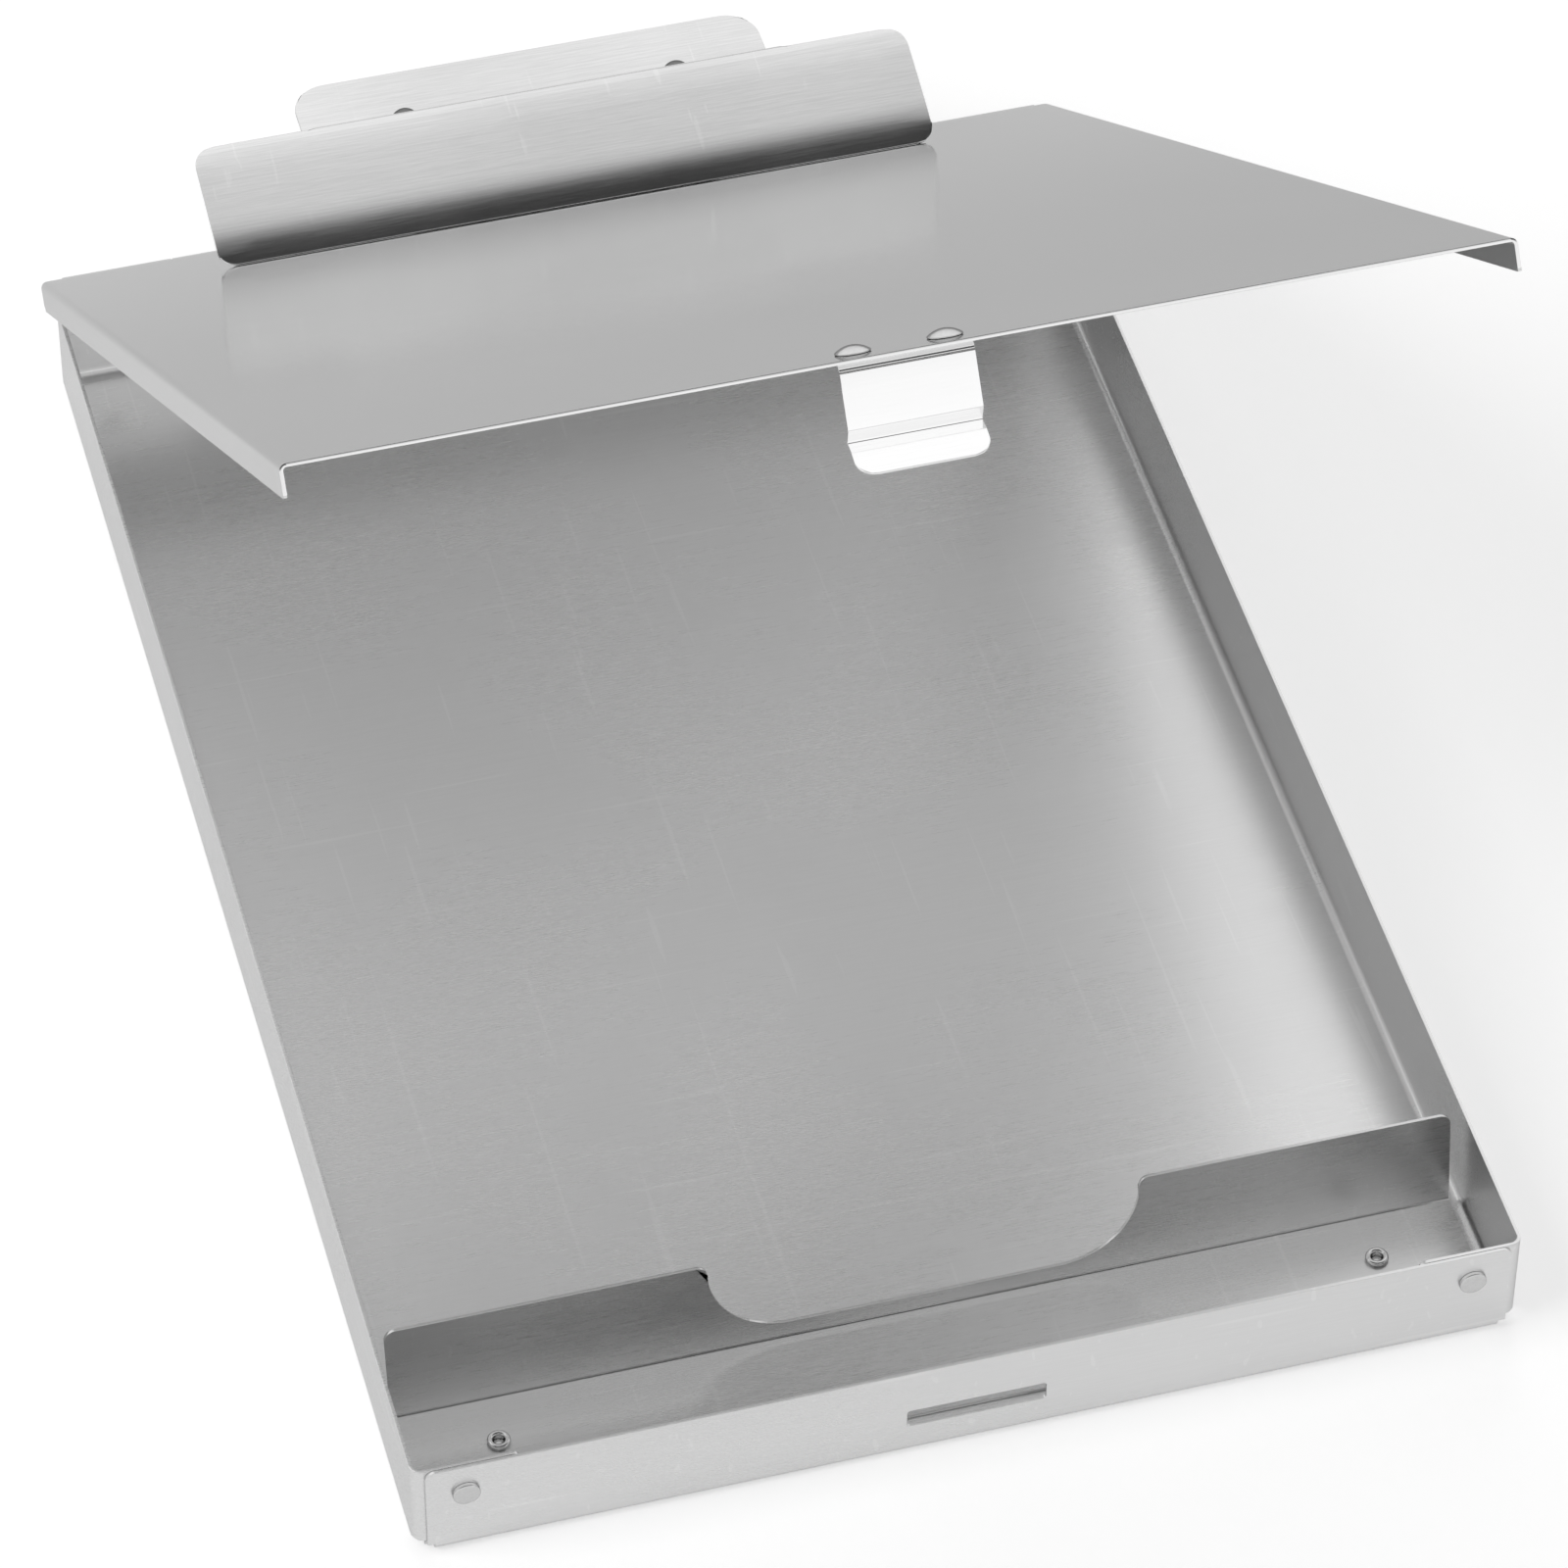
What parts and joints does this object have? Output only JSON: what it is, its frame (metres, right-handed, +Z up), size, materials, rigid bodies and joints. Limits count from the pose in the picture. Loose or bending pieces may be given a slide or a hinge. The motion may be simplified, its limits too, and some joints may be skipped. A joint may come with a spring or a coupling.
{
  "type": "storage clipboard box",
  "caption": "Shallow sheet-metal storage tray with a pen divider and a hinged writing lid that carries a sprung paper clip and a spring latch; shown with the lid part open.",
  "frame": {"origin": "centre of the tray's flat underside", "axes": "+X along the front wall to the right as seen from the front, +Y from the front wall back to the hinge, +Z up"},
  "size_m": [0.2368, 0.3808, 0.2375],
  "materials": {
    "tray_metal": "finely brushed sheet aluminium",
    "divider_metal": "finely brushed sheet aluminium",
    "lid_metal": "satin sheet aluminium",
    "hinge_metal": "satin",
    "latch_steel": "bright plated spring steel",
    "clip_steel": "brushed along its width",
    "clip_inner_steel": "plain zinc-grey steel",
    "spring_steel": "bright spring wire",
    "pin_steel": "plain steel",
    "rivet_metal": "bright rivet metal"
  },
  "bodies": {
    "tray": {"tray_shell": "tray_metal", "front_corner_rivets": "rivet_metal", "rear_corner_rivets": "rivet_metal", "pen_divider": "divider_metal", "divider_rivets": "rivet_metal", "tray_hinge_leaf": "hinge_metal", "tray_leaf_rivets": "rivet_metal", "hinge_pin": "pin_steel"},
    "lid": {"lid_shell": "lid_metal", "lid_hinge_leaf": "hinge_metal", "latch_foot_strip": "latch_steel", "latch_rivets": "rivet_metal", "clip_base": "clip_inner_steel", "base_rivets": "rivet_metal", "clip_pin": "pin_steel", "clip_springs": "spring_steel"},
    "latch": {"latch_blade": "latch_steel"},
    "clip": {"clip_sheet": "clip_steel", "clip_saddle": "clip_inner_steel", "shelf_rivets": "rivet_metal"}
  },
  "joints": [
    {"name": "lid_hinge", "type": "hinge", "parent": "tray", "child": "lid", "pos_m": [0, 0.1776, 0.02347], "axis": [-1, 0, 0], "range_deg": [-36.48, 68.5]},
    {"name": "latch_flex", "type": "hinge", "parent": "lid", "child": "latch", "pos_m": [0, -0.10574, 0.23368], "axis": [-1, 0, 0], "range_deg": [0, 12], "stiffness_Nm_per_rad": 0.5},
    {"name": "clip_pivot", "type": "hinge", "parent": "lid", "child": "clip", "pos_m": [0, 0.17674, 0.04299], "axis": [-1, 0, 0], "range_deg": [0, 25], "stiffness_Nm_per_rad": 0.8, "springref_deg": -22.92}
  ]
}
